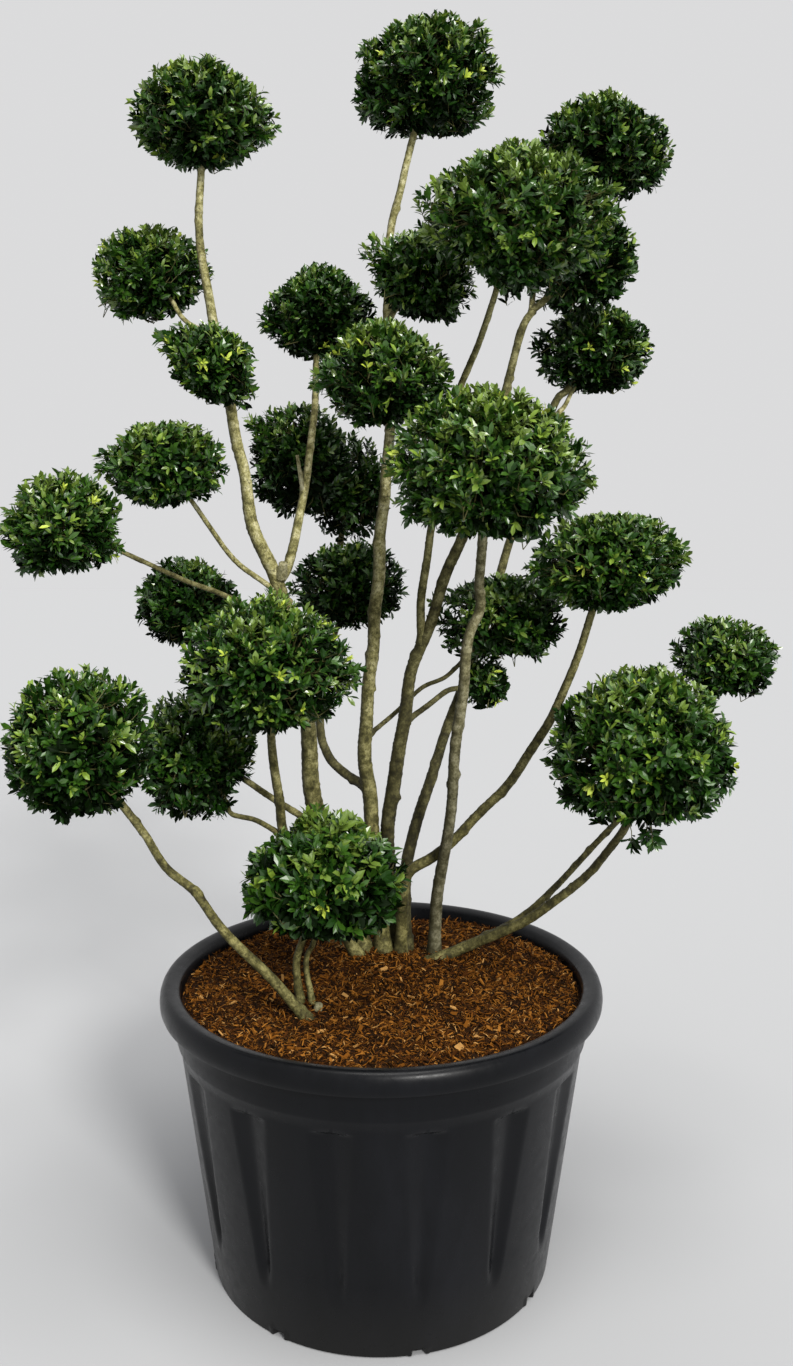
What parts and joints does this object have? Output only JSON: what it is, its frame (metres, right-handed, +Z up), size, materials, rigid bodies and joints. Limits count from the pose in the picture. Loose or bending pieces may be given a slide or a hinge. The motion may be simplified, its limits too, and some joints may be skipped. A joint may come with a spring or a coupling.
{
  "type": "potted holly cloud topiary",
  "caption": "Multi-stemmed small-leaved holly pruned into clipped balls of leaves on bare stems, growing in a round black nursery pot with bark mulch.",
  "frame": {"origin": "middle of the pot's flat underside, on the floor", "axes": "+Z up along the pot's axis, -Y towards the side the plant shows to its viewer"},
  "size_m": [1.3836, 0.7839, 2.2378],
  "materials": {
    "plastic": "moulded black polypropylene, satin",
    "mulch": "shredded bark and coir, rough",
    "bark": "thin olive-tan living bark with knots",
    "leaves": "small waxy dark green leaves"
  },
  "bodies": {
    "root": {"pot": "plastic", "bark_mulch": "mulch", "trunk_left": "bark", "stem_middle": "bark", "stem_right": "bark", "stem_back_right": "bark", "stem_centre": "bark", "stem_side_right": "bark", "stem_low_right": "bark", "stem_far_right": "bark", "stem_low_left": "bark", "stem_left_front": "bark", "stem_front": "bark", "twig_front": "bark", "bough_upper_back": "bark", "bough_left_high": "bark", "bough_far_left": "bark", "bough_upper_left": "bark", "bough_leader": "bark", "bough_left_back": "bark", "bough_inner_left": "bark", "bough_back_left": "bark", "twig_inner_left": "bark", "stem_back": "bark", "bough_back_low": "bark", "bough_middle_high": "bark", "bough_upper_middle": "bark", "twig_centre_back": "bark", "bough_upper_front": "bark", "bough_top_right": "bark", "twig_centre_small": "bark", "twig_right_high": "bark", "cloud_top_left": "leaves", "cloud_top": "leaves", "cloud_top_right": "leaves", "cloud_upper_front": "leaves", "cloud_upper_right": "leaves", "cloud_upper_left": "leaves", "cloud_leader": "leaves", "cloud_upper_back": "leaves", "cloud_upper_middle": "leaves", "cloud_middle_high": "leaves", "cloud_right_high": "leaves", "cloud_centre": "leaves", "cloud_left_high": "leaves", "cloud_far_left": "leaves", "cloud_back_left": "leaves", "cloud_back_middle": "leaves", "cloud_back_low": "leaves", "cloud_left_back": "leaves", "cloud_left_front": "leaves", "cloud_right_middle": "leaves", "cloud_centre_back": "leaves", "cloud_centre_small": "leaves", "cloud_far_right": "leaves", "cloud_right_low": "leaves", "cloud_left_low": "leaves", "cloud_left_inner": "leaves", "cloud_front_low": "leaves"}
  },
  "joints": []
}
